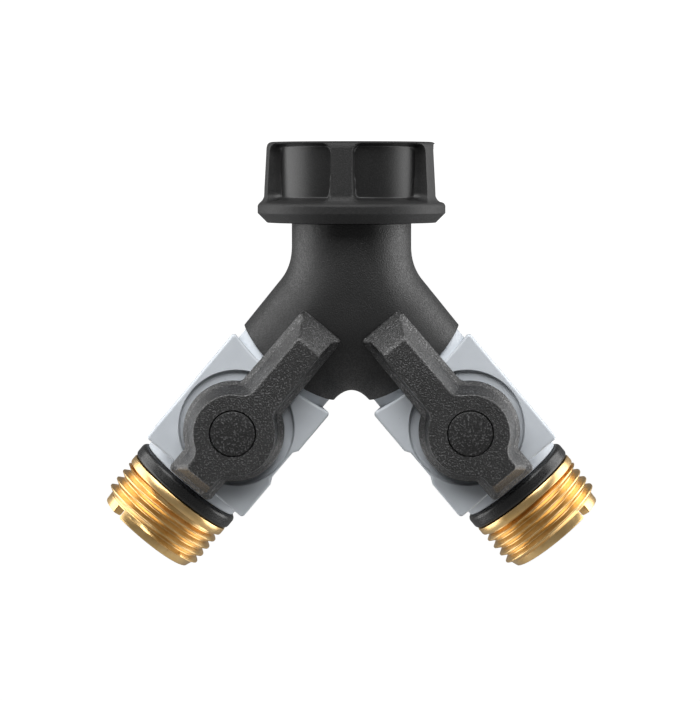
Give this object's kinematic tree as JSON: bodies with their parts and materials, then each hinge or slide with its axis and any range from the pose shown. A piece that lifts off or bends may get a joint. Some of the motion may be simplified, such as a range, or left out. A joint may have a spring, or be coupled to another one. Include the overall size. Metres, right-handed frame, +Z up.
{
  "type": "hose splitter",
  "caption": "Y-shaped garden hose splitter: a swivel female inlet nut, two grey ball-valve blocks with black quarter-turn levers, and threaded brass hose outlets.",
  "frame": {"origin": "centre of the inlet nut's open mouth", "axes": "+Z up, out of the inlet's mouth along its axis; the two legs lie in the XZ plane at 40 degrees to -Z; the valve levers face -Y"},
  "size_m": [0.114, 0.0441, 0.0985],
  "materials": {
    "body_plastic": "fine-grained moulded black plastic",
    "nut_plastic": "satin moulded black plastic",
    "housing_plastic": "satin light blue-grey moulded plastic",
    "lever_plastic": "coarse-grained black plastic with a soft sheen",
    "cap_plastic": "coarse-grained black plastic",
    "collar_plastic": "smooth black plastic",
    "brass": "machined, bright",
    "seal_rubber": "smooth",
    "seat_plastic": "smooth white low-friction plastic",
    "stem_plastic": "smooth white plastic",
    "ball_steel": "polished plating",
    "screw_steel": "bright"
  },
  "bodies": {
    "body": {"y_body": "body_plastic", "swivel_tail": "body_plastic", "tail_o_ring": "seal_rubber", "valve_housing_left": "housing_plastic", "housing_o_ring_left": "seal_rubber", "upstream_seat_left": "seat_plastic", "downstream_seat_left": "seat_plastic", "outlet_collar_left": "collar_plastic", "outlet_fitting_left": "brass", "fitting_o_ring_left": "seal_rubber", "valve_housing_right": "housing_plastic", "housing_o_ring_right": "seal_rubber", "upstream_seat_right": "seat_plastic", "downstream_seat_right": "seat_plastic", "outlet_collar_right": "collar_plastic", "outlet_fitting_right": "brass", "fitting_o_ring_right": "seal_rubber"},
    "inlet_nut": {"swivel_nut": "nut_plastic", "hose_washer": "seal_rubber"},
    "valve_left": {"lever_left": "lever_plastic", "lever_cap_left": "cap_plastic", "lever_screw_left": "screw_steel", "valve_stem_left": "stem_plastic", "stem_o_ring_left": "seal_rubber", "ball_left": "ball_steel"},
    "valve_right": {"lever_right": "lever_plastic", "lever_cap_right": "cap_plastic", "lever_screw_right": "screw_steel", "valve_stem_right": "stem_plastic", "stem_o_ring_right": "seal_rubber", "ball_right": "ball_steel"}
  },
  "joints": [
    {"name": "nut_spin", "type": "hinge", "parent": "body", "child": "inlet_nut", "pos_m": [0, 0, 0], "axis": [0, 0, 1], "continuous": true},
    {"name": "valve_turn_left", "type": "hinge", "parent": "body", "child": "valve_left", "pos_m": [-0.02674, 0, -0.06567], "axis": [0, -1, 0], "range_deg": [0, 90]},
    {"name": "valve_turn_right", "type": "hinge", "parent": "body", "child": "valve_right", "pos_m": [0.02674, 0, -0.06567], "axis": [0, 1, 0], "range_deg": [0, 90]}
  ]
}
